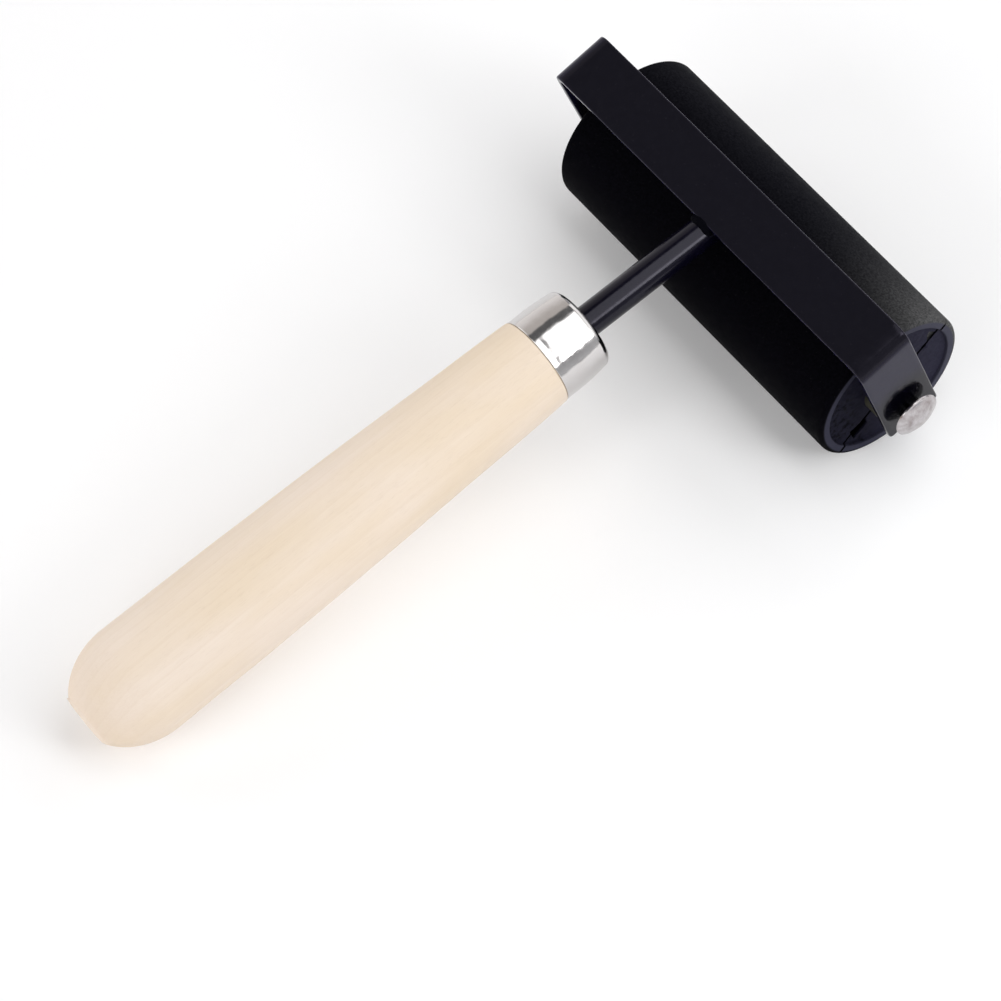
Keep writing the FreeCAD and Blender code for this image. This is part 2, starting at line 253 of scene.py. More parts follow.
def rounded(corners, radius):
    """A closed outline through the corners, each one rounded, with its long runs divided."""
    bends = []
    for k, corner in enumerate(corners):
        here = np.array(corner, float)
        back = np.array(corners[k - 1]) - here
        ahead = np.array(corners[(k + 1) % len(corners)]) - here
        back, ahead = back / np.linalg.norm(back), ahead / np.linalg.norm(ahead)
        half = math.acos(np.clip(back @ ahead, -1, 1)) / 2
        reach = radius / math.tan(half)
        centre = here + (back + ahead) / np.linalg.norm(back + ahead) * radius / math.sin(half)
        first, last = here + back * reach - centre, here + ahead * reach - centre
        turn = math.pi - 2 * half
        bends.append([
            centre + (math.sin((1 - t) * turn) * first + math.sin(t * turn) * last) / math.sin(turn)
            for t in np.arange(6) / 5
        ])
    points = []
    for bend, following in zip(bends, bends[1:] + bends[:1]):
        points += [tuple(point) for point in bend[:-1]]
        points += spread(tuple(bend[-1]), tuple(following[0]))
    return points


def lathe(outline, turns, closed, shift=None):
    """Vertices and faces turned about Z from (radius, distance) points, radius 0 being a pole.
    shift gives a ring's sideways move for a (radius, distance) point."""
    angles = np.arange(turns) * TAU / turns
    verts, rings = [], []
    for radius, distance in outline:
        aside = shift(radius, distance) if shift else (0, 0)
        if radius < 1e-6:
            rings.append([len(verts)] * turns)
            verts.append((aside[0], aside[1], distance))
            continue
        rings.append(list(range(len(verts), len(verts) + turns)))
        verts += [
            (aside[0] + radius * math.cos(a), aside[1] + radius * math.sin(a), distance)
            for a in angles
        ]
    pairs = list(zip(rings, rings[1:] + rings[:1] if closed else rings[1:]))
    faces = []
    for low, high in pairs:
        for k in range(turns):
            n = (k + 1) % turns
            corners = [low[k], low[n], high[n], high[k]]
            face = [v for m, v in enumerate(corners) if v not in corners[:m]]
            if len(face) > 2:
                faces.append(face)
    return verts, faces


def piece(name, mesh_data, place, body, nodes, material):
    """A finished piece: its mesh in millimetres at place, riding on body in the nodes' stead."""
    verts, faces = mesh_data
    mesh = bpy.data.meshes.new(name)
    placed = [place @ (Vector(vert) * MM) for vert in verts]
    mesh.from_pydata(placed, [], faces)
    own = mesh.attributes.new(OWN_PLACE, "FLOAT_VECTOR", "POINT")
    own.data.foreach_set("vector", np.array(verts, np.float32).ravel())
    work = bmesh.new()
    work.from_mesh(mesh)
    bmesh.ops.recalc_face_normals(work, faces=work.faces)
    work.to_mesh(mesh)
    work.free()
    mesh.shade_smooth()
    mesh.set_sharp_from_angle(angle=SHARP_ANGLE)
    mesh.materials.append(material)
    thing = add_object(name, mesh)
    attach(thing, body)
    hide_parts(*nodes)
    return thing


def wander(point):
    """A noise vector at a point, the same in every run: each part is the noise at its own shift."""
    return Vector([noise.noise(point + Vector(shift)) for shift in WANDER_SHIFTS])


def roughen(verts, amount, size, skip):
    """Moves points about by up to amount, in lumps of this size, apart from those skip names."""
    moved = []
    for vert in verts:
        point = Vector(vert)
        if not skip(point):
            point += wander(point / size) * amount
        moved.append(tuple(point))
    return moved


# ---- material helpers ----

class Recipe:
    """A node material around one Principled shader, whose constants are set on its own sockets."""

    def __init__(self, name, **constants):
        self.material = bpy.data.materials.new(name)
        self.material.use_nodes = True
        self.tree = self.material.node_tree
        self.shader = self.tree.nodes["Principled BSDF"]
        for socket, value in constants.items():
            self.shader.inputs[socket.replace("_", " ")].default_value = value
        attribute = self.node("ShaderNodeAttribute", {}, attribute_name=OWN_PLACE)
        self.coords = attribute.outputs["Vector"]

    def node(self, kind, inputs, **settings):
        """A new node, each of its inputs linked to an output or set to a plain value."""
        made = self.tree.nodes.new(kind)
        for key, value in settings.items():
            setattr(made, key, value)
        self.feed(made, inputs)
        return made

    def feed(self, node, inputs):
        for key, value in inputs.items():
            if isinstance(value, bpy.types.NodeSocket):
                self.tree.links.new(value, node.inputs[key])
            else:
                node.inputs[key].default_value = value

    def stretched(self, scale=(1, 1, 1), move=(0, 0, 0), turn=(0, 0, 0)):
        """The piece's own coordinates in millimetres, turned, moved and scaled."""
        turn = [math.radians(angle) for angle in turn]
        inputs = {"Vector": self.coords, "Location": move, "Rotation": turn, "Scale": scale}
        return self.node("ShaderNodeMapping", inputs).outputs["Vector"]

    def noise(self, scale, stretch=(1, 1, 1), detail=3.0, roughness=0.5):
        place = self.stretched(stretch)
        inputs = {"Vector": place, "Scale": scale, "Detail": detail, "Roughness": roughness}
        return self.node("ShaderNodeTexNoise", inputs).outputs["Fac"]

    def ramp(self, factor, stops):
        """A colour or grey ramp from (position, value) stops."""
        made = self.node("ShaderNodeValToRGB", {"Fac": factor})
        elements = made.color_ramp.elements
        while len(elements) < len(stops):
            elements.new(0.5)
        for element, (position, value) in zip(elements, stops):
            element.position = position
            element.color = (*value, 1) if isinstance(value, tuple) else (value, value, value, 1)
        return made.outputs["Color"]

    def math(self, operation, first, second=0.0, third=0.0):
        inputs = {0: first, 1: second, 2: third}
        return self.node("ShaderNodeMath", inputs, operation=operation).outputs["Value"]

    def times(self, first, second):
        return self.math("MULTIPLY", first, second)

    def hypot(self, first, second):
        """The length that two coordinates make together."""
        squares = [self.math("POWER", value, 2.0) for value in (first, second)]
        return self.math("SQRT", self.math("ADD", *squares))

    def mix(self, factor, first, second):
        first, second = (
            (*tone, 1) if isinstance(tone, tuple) else tone for tone in (first, second)
        )
        inputs = {0: factor, 6: first, 7: second}
        return self.node("ShaderNodeMix", inputs, data_type="RGBA").outputs[2]

    def split(self, vector):
        return self.node("ShaderNodeSeparateXYZ", {"Vector": vector}).outputs

    def range(self, value, low, high, new_low, new_high):
        """A value's run from low to high made to run from new_low to new_high, and held there."""
        inputs = {0: value, 1: low, 2: high, 3: new_low, 4: new_high}
        return self.node("ShaderNodeMapRange", inputs).outputs["Result"]

    def bump(self, height, depth, under=None):
        """A bump whose height of 0 to 1 stands for depth millimetres, over an earlier bump."""
        inputs = {"Strength": 1.0, "Distance": depth * MM, "Height": height}
        if under is not None:
            inputs["Normal"] = under
        return self.node("ShaderNodeBump", inputs).outputs["Normal"]

    def finish(self, colour, roughness=None, normal=None):
        inputs = {"Base Color": colour, "Roughness": roughness, "Normal": normal}
        self.feed(self.shader, {key: value for key, value in inputs.items() if value is not None})
        return self.material


# ---- materials ----

def wood_material():
    """Pale close-grained wood, sanded and bare, with its pith outside the turning."""
    wood = Recipe("pale_wood", Specular_IOR_Level=0.3)
    fibres = wood.noise(2.6, (1, 1, 0.022), detail=4, roughness=0.6)
    pith = wood.split(wood.stretched(scale=(1, 1, 0.10), move=(24, -11, 0), turn=(2.2, -3.0, 0)))
    sway = wood.noise(0.06, (1, 1, 0.12), detail=1)
    from_pith = wood.math("MULTIPLY_ADD", sway, RING_SWAY, wood.hypot(pith[0], pith[1]))
    season = wood.math("FRACT", wood.math("DIVIDE", from_pith, RING_WIDTH))
    late_wood = wood.ramp(season, [(0.0, 0.0), (0.72, 0.35), (0.93, 1.0), (1.0, 0.0)])
    broad = wood.noise(0.075, (1, 1, 0.25), detail=3)
    broad = wood.range(broad, 0.36, 0.64, 0, 1)
    pores = wood.noise(5.0, (1, 1, 0.09), detail=1)
    pores = wood.ramp(pores, [(0.64, 0.0), (0.70, 1.0)])
    tone = wood.mix(broad, (0.835, 0.700, 0.545), (0.865, 0.745, 0.635))
    tone = wood.mix(wood.times(late_wood, 0.07), tone, (0.62, 0.45, 0.29))
    tone = wood.mix(wood.range(fibres, 0.35, 0.65, 0.0, 0.10), tone, (0.68, 0.52, 0.37))
    tone = wood.mix(wood.times(pores, 0.07), tone, (0.45, 0.31, 0.20))
    along = wood.split(wood.stretched())[2]
    end_grain = wood.range(along, 172.0, 188.0, 0.0, 0.20)
    tone = wood.mix(end_grain, tone, (0.66, 0.49, 0.35))
    relief = wood.bump(fibres, 0.035)
    relief = wood.bump(pores, -0.02, relief)
    return wood.finish(tone, wood.range(fibres, 0.3, 0.7, 0.50, 0.62), relief)


def nickel_material():
    """Bright nickel plate on a drawn ferrule, with faint turning lines and handling haze."""
    plate = Recipe("bright_nickel", Metallic=1.0)
    lines = plate.noise(5.0, (0.02, 0.02, 1), detail=3)
    haze = plate.noise(0.35, detail=4, roughness=0.6)
    dents = plate.noise(0.3, detail=2)
    tone = plate.mix(haze, (0.58, 0.555, 0.545), (0.66, 0.645, 0.64))
    relief = plate.bump(lines, 0.004, plate.bump(dents, 0.07))
    return plate.finish(tone, plate.range(haze, 0.3, 0.7, 0.10, 0.18), relief)


def satin_nickel_material():
    """Dull nickel on the rivet's ends and its washer, and near black on the pin between."""
    plate = Recipe("satin_nickel", Metallic=1.0)
    grain = plate.noise(4.0, detail=4, roughness=0.65)
    stain = plate.noise(0.5, detail=3)
    along = plate.split(plate.stretched())[2]
    on_head = plate.range(along, HEAD_FACE + 0.02, HEAD_FACE + 0.12, 0, 1)
    bright_ends = plate.math("MAXIMUM", on_head, plate.math("LESS_THAN", along, -STRAP_HALF_SPAN))
    stain = plate.range(stain, 0.35, 0.65, 0, 1)
    tone = plate.mix(stain, (0.33, 0.295, 0.295), (0.54, 0.515, 0.525))
    # The pin between the head and the peened end is coloured near black.
    tone = plate.mix(bright_ends, (0.02, 0.02, 0.022), tone)
    return plate.finish(tone, plate.range(stain, 0.3, 0.7, 0.17, 0.26), plate.bump(grain, 0.012))


def steel_material():
    """Plain pressed steel of the thrust washers."""
    steel = Recipe("pressed_steel", Metallic=1.0)
    grain = steel.noise(3.0, detail=4)
    tone = steel.mix(grain, (0.42, 0.41, 0.40), (0.60, 0.59, 0.58))
    return steel.finish(tone, steel.range(grain, 0.3, 0.7, 0.30, 0.48), steel.bump(grain, 0.01))


def gloss_paint_material():
    """Glossy black enamel on the rod."""
    paint = Recipe(
        "gloss_black_enamel", Specular_IOR_Level=0.3, Specular_Tint=(0.88, 0.86, 1.0, 1.0),
    )
    peel = paint.noise(1.1, detail=2)
    tone = paint.mix(peel, (0.0012, 0.0010, 0.0045), (0.0026, 0.0022, 0.0075))
    return paint.finish(tone, paint.range(peel, 0.3, 0.7, 0.16, 0.22), paint.bump(peel, 0.012))


def weld_paint_material():
    """The same enamel where it lies thick and dull on the welds."""
    paint = Recipe("dull_black_enamel", Specular_IOR_Level=0.01, Roughness=0.6)
    pits = paint.noise(2.4, detail=2)
    tone = paint.mix(pits, (0.001, 0.001, 0.002), (0.003, 0.003, 0.005))
    return paint.finish(tone, normal=paint.bump(pits, 0.03))


def satin_paint_material():
    """Satin black paint on the strap, with a fine orange peel and a few dust nibs.
    At a grazing angle it is painted bluer, a painted sheen, and round the rivet it is painted near
    black, a painted shadow of the head."""
    paint = Recipe(
        "satin_black_paint", Specular_IOR_Level=0.15, Specular_Tint=(0.81, 0.76, 1.0, 1.0),
    )
    peel = paint.noise(0.5, detail=2)
    fine = paint.noise(5.0, detail=2)
    nibs = paint.ramp(paint.noise(1.9, detail=0), [(0.79, 0.0), (0.83, 1.0)])
    slant_sheen = paint.range(paint.node("ShaderNodeLayerWeight", {}).outputs["Facing"], 0.25, 0.60, 0, 1)
    tone = paint.mix(peel, (0.0068, 0.0064, 0.0095), (0.0084, 0.0080, 0.0117))
    place = paint.split(paint.stretched())
    from_axle = paint.hypot(place[1], place[2])
    # Painted sheen: a bluish tone is painted where the paint is seen at a grazing angle.
    tone = paint.mix(slant_sheen, tone, (0.003, 0.0022, 0.017))
    # Painted shadow: within about 11 to 17 mm of the axle the paint is painted near black for the
    # rivet head's shade and dark reflection.
    tone = paint.mix(paint.range(from_axle, 11, 17, 0.9, 0), tone, (0.0008, 0.0008, 0.0012))
    relief = paint.bump(peel, 0.012)
    relief = paint.bump(fine, 0.002, relief)
    relief = paint.bump(nibs, 0.02, relief)
    return paint.finish(tone, paint.range(peel, 0.3, 0.7, 0.12, 0.17), relief)


def rubber_material():
    """Matt black rubber: ground round the face, mottled at the ends, and painted lighter towards
    the near end, partly a dusting and partly a painted sheen.
    """
    rubber = Recipe("black_rubber", Specular_IOR_Level=0.01)
    place = rubber.split(rubber.stretched())
    radius = rubber.hypot(place[0], place[1])
    from_middle = rubber.math("ABSOLUTE", place[2])
    on_end = rubber.times(
        rubber.range(from_middle, HALF_LENGTH - 1.4, HALF_LENGTH - 1.1, 0, 1),
        rubber.range(radius, END_EDGE_START - 0.1, END_EDGE_START + 0.35, 1, 0),
    )
    ground = rubber.noise(5.5, (0.25, 0.25, 1), detail=3)
    ground = rubber.times(ground, rubber.range(on_end, 0, 1, 1, 0))
    grain = rubber.noise(7.0, detail=3, roughness=0.65)
    mottle = rubber.noise(0.45, detail=5, roughness=0.65)
    speckle = rubber.noise(1.8, detail=3, roughness=0.7)
    speckle = rubber.range(speckle, 0.35, 0.65, 0, 1)
    specks = rubber.noise(2.6, detail=1, roughness=0.4)
    specks = rubber.ramp(specks, [(0.765, 0.0), (0.80, 1.0)])
    tone = rubber_side_tone(rubber, place, speckle)
    tone = rubber.mix(on_end, tone, rubber_end_tone(rubber, place, radius, mottle, speckle))
    tone = rubber.mix(rubber.times(specks, 0.16), tone, (0.14, 0.14, 0.13))
    relief = rubber.bump(grain, 0.015, rubber.bump(ground, 0.02))
    return rubber.finish(tone, rubber.range(mottle, 0.3, 0.7, 0.50, 0.66), relief)


def rubber_side_tone(rubber, place, speckle):
    """Black round the roller, painted lighter on the side away from the handle and towards the near
    end: partly a dusting, partly a painted sheen where the light falls.
    """
    # Painted sheen: the lighter tone on the side away from the handle, strongest at the near end,
    # is partly a dusting and partly painted light.
    dusty_lit_side = rubber.range(place[1], 3, 16, 0, 1)
    dust_and_sheen = rubber.math("POWER", rubber.range(place[2], -10, HALF_LENGTH, 0, 1), 4.0)
    dust_and_sheen = rubber.times(dust_and_sheen, dusty_lit_side)
    dust_and_sheen = rubber.times(dust_and_sheen, rubber.range(speckle, 0, 1, 0.4, 1))
    clean_shaded_tone = rubber.mix(speckle, (0.0002, 0.0002, 0.0008), (0.0022, 0.0020, 0.0036))
    dusty_lit_tone = rubber.mix(speckle, (0.0030, 0.0030, 0.0050), (0.0100, 0.0102, 0.0135))
    return rubber.mix(dust_and_sheen, rubber.mix(dusty_lit_side, clean_shaded_tone, dusty_lit_tone), (0.11, 0.11, 0.11))


def rubber_end_tone(rubber, place, radius, mottle, speckle):
    """Mottled dark grey on the ends, spotted on one side, painted lighter on the side the light
    falls on, painted paler on the rim as its reflection, and painted black in the seam as its
    shade.
    """
    # Painted shade: the seam groove and its lips are painted near black for the shade in them.
    across = rubber.math("MULTIPLY_ADD", place[0], -math.cos(SEAM_TURN), -SEAM_OFFSET)
    across = rubber.math("MULTIPLY_ADD", place[1], -math.sin(SEAM_TURN), across)
    across = rubber.math("MULTIPLY_ADD", rubber.math("SUBTRACT", mottle, 0.5), 0.9, across)
    on_seam = rubber.range(rubber.math("ABSOLUTE", across), 0.35, 0.60, 1, 0)
    on_rim = rubber.range(radius, END_RECESS_RADIUS - 0.1, END_RECESS_RADIUS + 0.2, 0, 1)
    spots = rubber.noise(0.8, detail=4, roughness=0.7)
    spotted = rubber.times(
        rubber.range(place[1], -12, -7, 1, 0), rubber.range(spots, 0.36, 0.52, 1, 0)
    )
    # Painted light: the end face is painted darker towards the handle side and lighter away from
    # it, for how the light falls.
    lit_side = rubber.range(place[1], -12, 8, 0, 1)
    tone = rubber.mix(lit_side, (0.013, 0.0125, 0.023), (0.030, 0.029, 0.048))
    tone = rubber.mix(rubber.range(speckle, 0, 1, 0.35, 0), tone, (0.006, 0.006, 0.012))
    tone = rubber.mix(spotted, tone, (0.0015, 0.0015, 0.003))
    # Painted reflection: the rim is painted paler for the sheen it reflects.
    rim_reflection_tone = rubber.mix(lit_side, (0.036, 0.036, 0.055), (0.062, 0.062, 0.085))
    return rubber.mix(on_seam, rubber.mix(on_rim, tone, rim_reflection_tone), (0.001, 0.001, 0.002))


def nylon_material():
    """Nylon of the core tube and the bushes, dark and a little olive."""
    nylon = Recipe("dark_nylon", Roughness=0.5, Specular_IOR_Level=0.35)
    cloud = nylon.noise(0.4, detail=3)
    saw = nylon.noise(2.0, (3.5, 0.3, 1), detail=2)
    tone = nylon.mix(cloud, (0.022, 0.021, 0.013), (0.045, 0.043, 0.028))
    return nylon.finish(tone, nylon.range(cloud, 0.3, 0.7, 0.42, 0.58), nylon.bump(saw, 0.03))


def floor_material():
    """Seamless pale paper."""
    paper = Recipe(
        "pale_paper", Roughness=0.9, Specular_IOR_Level=0.1,
        Emission_Color=(1.0, 1.0, 1.0, 1.0), Emission_Strength=0.12,
    )
    fibre = paper.noise(0.8, detail=3)
    tone = paper.mix(fibre, (0.885, 0.885, 0.890), (0.90, 0.90, 0.905))
    return paper.finish(tone)


# ---- pieces: handle, ferrule and rod ----

def smooth_outline(points, steps):
    """Points on a smooth curve through (radius, distance) points, evenly spread by distance."""
    radii = [radius for radius, _ in points]
    distances = [distance for _, distance in points]
    slopes = np.gradient(radii, distances)
    made = []
    for k in range(len(points) - 1):
        length = distances[k + 1] - distances[k]
        for t in np.arange(steps) / steps:
            first = (1 + 2 * t) * (1 - t) ** 2 * radii[k] + t * t * (3 - 2 * t) * radii[k + 1]
            second = t * (1 - t) ** 2 * slopes[k] - t * t * (1 - t) * slopes[k + 1]
            made.append((first + second * length, distances[k] + t * length))
    return made + [points[-1]]


def ferrule_side(inset):
    """The ferrule's outside from nose to rear edge, moved inwards by inset."""
    nose_end = FERRULE_FRONT + FERRULE_NOSE_LENGTH
    front = FERRULE_FRONT + inset
    nose_radius = FERRULE_NOSE_RADIUS - inset
    nose = [
        (
            FERRULE_FLAT_RADIUS + (nose_radius - FERRULE_FLAT_RADIUS) * math.sin(a),
            nose_end - (nose_end - front) * math.cos(a),
        )
        for a in np.radians(np.linspace(0, 82, 14))
    ]
    side = smooth_outline([
        (nose_radius, nose_end),
        (FERRULE_MIDDLE_RADIUS - inset, FERRULE_MIDDLE),
        (FERRULE_END_RADIUS - 0.03 - inset, FERRULE_END - 2.6),
        (FERRULE_END_RADIUS - 0.05 - inset, FERRULE_END - 0.8),
        (FERRULE_END_RADIUS - inset, FERRULE_END - 0.2),
    ], 12)
    return nose + side


def tang_shift(radius, distance):
    """How far the tang's hole stands off the handle's axis at a distance along it."""
    if radius > ROD_RADIUS + 1:
        return 0, 0
    in_handle = HANDLE_PLACE.to_3x3().inverted() @ TOOL.to_3x3() @ ROD_DIRECTION
    run = distance - FERRULE_FRONT
    return run * in_handle.x / in_handle.z, run * in_handle.y / in_handle.z


def handle_mesh():
    """Grip with a domed, faceted end, and a tenon drilled for the tang."""
    shoulder_radius, shoulder = HANDLE_OUTLINE[0]
    tenon = ferrule_side(FERRULE_WALL + TENON_GAP)
    tenon_front = tenon[0][1]
    hole = ROD_RADIUS + TANG_CLEARANCE
    point_start = TANG_END - TANG_POINT_LENGTH
    drilled = [(0, TANG_END + 0.1), (TANG_POINT_RADIUS, TANG_END + 0.1), (hole, point_start)]
    drilled += [(hole, d) for d in np.linspace(point_start - 4, tenon_front, 16)]
    neck = [(tenon[-1][0], FERRULE_END - 0.1), (shoulder_radius - 0.45, FERRULE_END - 0.02)]
    lip = arc((shoulder_radius - 0.3, shoulder + 0.3), 0.3, -90, 0, 4)
    side = smooth_outline([(shoulder_radius, shoulder + 0.3)] + HANDLE_OUTLINE[1:], 22)[1:]
    dome_start = HANDLE_OUTLINE[-1][1]
    dome_radius = HANDLE_OUTLINE[-1][0]
    facet_angle = math.asin(HANDLE_FACET_RADIUS / dome_radius)
    dome_length = (HANDLE_END - dome_start) / math.cos(facet_angle)
    angles = np.linspace(math.pi / 2, facet_angle, 46)[1:]
    dome = [(dome_radius * math.sin(a), dome_start + dome_length * math.cos(a)) for a in angles]
    facet = [(radius, HANDLE_END + 0.02) for radius in HANDLE_FACET_RINGS]
    outline = drilled + tenon[:-1] + neck + lip + side + dome[:-1] + [HANDLE_FACET_EDGE] + facet
    outline.append((0, HANDLE_END))
    verts, faces = lathe(outline, 192, closed=False, shift=tang_shift)
    verts = roughen(verts, HANDLE_WAVE, HANDLE_WAVE_SIZE, skip=lambda point: point.z < shoulder + 1)
    return verts, faces


def ferrule_mesh():
    """A thin drawn cup with a rolled rear edge and a punched hole for the rod."""
    outside = ferrule_side(0)
    inside = ferrule_side(FERRULE_WALL)
    hole = ROD_RADIUS + FERRULE_HOLE_GAP
    front = [(hole, FERRULE_FRONT + 0.12), (hole + 0.12, FERRULE_FRONT)]
    front += [(r, FERRULE_FRONT) for r in np.linspace(hole + 0.4, FERRULE_FLAT_RADIUS - 0.4, 8)]
    rear = arc((FERRULE_END_RADIUS - 0.25, FERRULE_END - 0.25), 0.25, 10, 170, 8)
    back = [(hole, FERRULE_FRONT + FERRULE_WALL), (hole + 0.5, FERRULE_FRONT + FERRULE_WALL)]
    outline = front + outside + rear + inside[::-1] + back[::-1]
    verts, faces = lathe(outline, 224, closed=True)
    still = FERRULE_FRONT + 0.3
    verts = roughen(verts, FERRULE_WAVE, FERRULE_WAVE_SIZE, skip=lambda point: point.z < still)
    return verts, faces


def rod_mesh():
    """The rod in its own frame, ground flat where it lies under the strap."""
    point_start = TANG_END - TANG_POINT_LENGTH
    start = -ROD_UNDER_STRAP
    outline = [(0, start), (ROD_RADIUS - 0.3, start)]
    outline += arc((ROD_RADIUS - 0.3, start + 0.3), 0.3, -60, 0, 3)
    outline += [(ROD_RADIUS, d) for d in np.arange(start + 0.6, 2.0, 0.25)]
    outline += [(ROD_RADIUS, d) for d in np.arange(2.0, point_start, 2.0)]
    outline += [(ROD_RADIUS, point_start), (TANG_POINT_RADIUS, TANG_END), (0, TANG_END)]
    verts, faces = lathe(outline, 96, closed=False)
    into_tool = TOOL.inverted() @ ROD_PLACE
    out_of_tool = into_tool.inverted()
    seated = []
    for vert in verts:
        point = into_tool @ (Vector(vert) * MM) / MM
        if point.y > -HALF_WIDTH and point.z > STRAP_INNER - 0.02:
            point.z = STRAP_INNER - 0.02
        seated.append(tuple(out_of_tool @ (point * MM) / MM))
    return seated, faces


# ---- pieces: strap and welds ----

def strap_line(run):
    """The strap's middle line: the point and outward direction at a distance from the middle."""
    side = math.copysign(1, run)
    run = abs(run)
    height = STRAP_BACK - STRAP_THICKNESS / 2
    if run <= STRAP_FLAT:
        return Vector((side * run, 0, height)), Vector((0, 0, 1))
    angle = min((run - STRAP_FLAT) / MIDDLE_BEND_RADIUS, math.pi / 2)
    out = Vector((side * math.sin(angle), 0, math.cos(angle)))
    centre = Vector((side * STRAP_FLAT, 0, height - MIDDLE_BEND_RADIUS))
    down = max(0, run - STRAP_FLAT - BEND_RUN)
    return centre + out * MIDDLE_BEND_RADIUS - Vector((0, 0, down)), out


def strap_point(run, aside, height):
    """A point of the softly uneven strap: along its middle line, across it, and outwards."""
    middle, out = strap_line(run)
    wave = STRAP_WAVE * noise.noise(Vector((run * 0.06, aside * 0.1, 0)))
    aside += STRAP_WAVE * noise.noise(Vector((run * 0.11, math.copysign(5, aside), 3)))
    return tuple(middle + out * (height + wave) + Vector((0, aside, 0)))


def strap_across(run, half, height, columns):
    """Points across the strap at these columns, from half to the same place on the other side."""
    return [strap_point(run, half * (1 - 2 * k / STRAP_COLUMNS), height) for k in columns]


def strap_edge(run, corner, inset):
    """The run and half width of the strap's edge, moved inwards by inset.
    corner is the angle round an ear's corner, or None anywhere else."""
    if corner is None:
        return run, HALF_WIDTH - inset
    radius = EAR_CORNER_RADIUS - inset
    reach = STRAP_RUN - EAR_CORNER_RADIUS + radius * math.sin(corner)
    return math.copysign(reach, run), HALF_WIDTH - EAR_CORNER_RADIUS + radius * math.cos(corner)


def strap_stations():
    """(run, corner) of each section along the strap, from the far ear's end to the near ear's."""
    bend_end = STRAP_FLAT + BEND_RUN
    rows = list(np.linspace(0, STRAP_FLAT, 55)[:-1])
    rows += list(np.linspace(STRAP_FLAT, bend_end, 25)[:-1])
    rows += list(np.linspace(bend_end, STRAP_RUN - EAR_CORNER_RADIUS, 36))
    corners = np.radians(np.linspace(0, 90, 7))[1:]
    return (
        [(-STRAP_RUN, corner) for corner in reversed(corners)]
        + [(-run, None) for run in reversed(rows[1:])]
        + [(run, None) for run in rows]
        + [(STRAP_RUN, corner) for corner in corners]
    )


def strap_section():
    """(inset, height) of the rounded edge, from the outer face round to the inner one."""
    radius = STRAP_EDGE_RADIUS
    half = STRAP_THICKNESS / 2
    top = [
        (radius * (1 - math.sin(a)), half - radius + radius * math.cos(a))
        for a in np.radians(np.linspace(0, 90, 6))
    ]
    return top + [(inset, -height) for inset, height in reversed(top)]


def strap_mesh():
    """The strap as rows of closed sections, with rounded ear corners."""
    section = strap_section()
    (face_inset, face_height), *edge, _ = section
    columns = range(STRAP_COLUMNS + 1)
    verts, faces, row_starts = [], [], []
    for run, corner in strap_stations():
        row_starts.append(len(verts))
        face_run, face_half = strap_edge(run, corner, face_inset)
        verts += strap_across(face_run, face_half, face_height, columns)
        for inset, level in edge:
            here, half = strap_edge(run, corner, inset)
            verts.append(strap_point(here, -half, level))
        verts += strap_across(face_run, -face_half, -face_height, columns)
        for inset, level in reversed(edge):
            here, half = strap_edge(run, corner, inset)
            verts.append(strap_point(here, half, level))
    loop = row_starts[1] - row_starts[0]
    for low, high in zip(row_starts, row_starts[1:]):
        for k in range(loop):
            n = (k + 1) % loop
            faces.append([low + k, low + n, high + n, high + k])
    add_strap_end(verts, faces, row_starts[0], -STRAP_RUN, edge, loop)
    add_strap_end(verts, faces, row_starts[-1], STRAP_RUN, edge, loop)
    return verts, faces


def add_strap_end(verts, faces, start, end, edge, loop):
    """Closes the strap at end, where its last loop of points begins at start."""
    ranks = [[start + k for k in range(STRAP_COLUMNS + 1)]]
    first_below = start + STRAP_COLUMNS + 1
    for m, (inset, level) in enumerate(edge):
        here, half = strap_edge(end, math.pi / 2, inset)
        middle = range(len(verts), len(verts) + STRAP_COLUMNS - 1)
        verts += strap_across(here, half, level, range(1, STRAP_COLUMNS))
        ranks.append([start + loop - 1 - m, *middle, first_below + m])
    ranks.append([first_below + len(edge) + k for k in range(STRAP_COLUMNS, -1, -1)])
    for upper, lower in zip(ranks, ranks[1:]):
        for k in range(STRAP_COLUMNS):
            faces.append([upper[k], upper[k + 1], lower[k + 1], lower[k]])


def drill(thing, radius, reach):
    """Cuts the axle's hole through the ears, along the tool's X axis."""
    cutter_mesh = bpy.data.meshes.new("cutter")
    outline = [(0, -reach), (radius, -reach), (radius, reach), (0, reach)]
    verts, faces = lathe(outline, 64, closed=False)
    cutter_mesh.from_pydata((np.array(verts) * MM).tolist(), [], faces)
    cutter = add_object("cutter", cutter_mesh)
    cutter.matrix_world = ROLLER_PLACE
    cut = thing.modifiers.new("hole", "BOOLEAN")
    cut.operation = "DIFFERENCE"
    cut.solver = "EXACT"
    cut.object = cutter
    bpy.context.view_layer.update()
    drilled = bpy.data.meshes.new_from_object(
        thing.evaluated_get(bpy.context.evaluated_depsgraph_get())
    )
    thing.modifiers.clear()
    thing.data = drilled
    bpy.data.objects.remove(cutter)
    drilled.shade_smooth()
    drilled.set_sharp_from_angle(angle=SHARP_ANGLE)


def tapered(share):
    """1 along a weld, falling to almost nothing over its first and last fifth or so."""
    edge = min(share, 1 - share) / WELD_TAPER
    return 0.06 + 0.94 * math.sqrt(max(0, 1 - (1 - min(edge, 1)) ** 2))


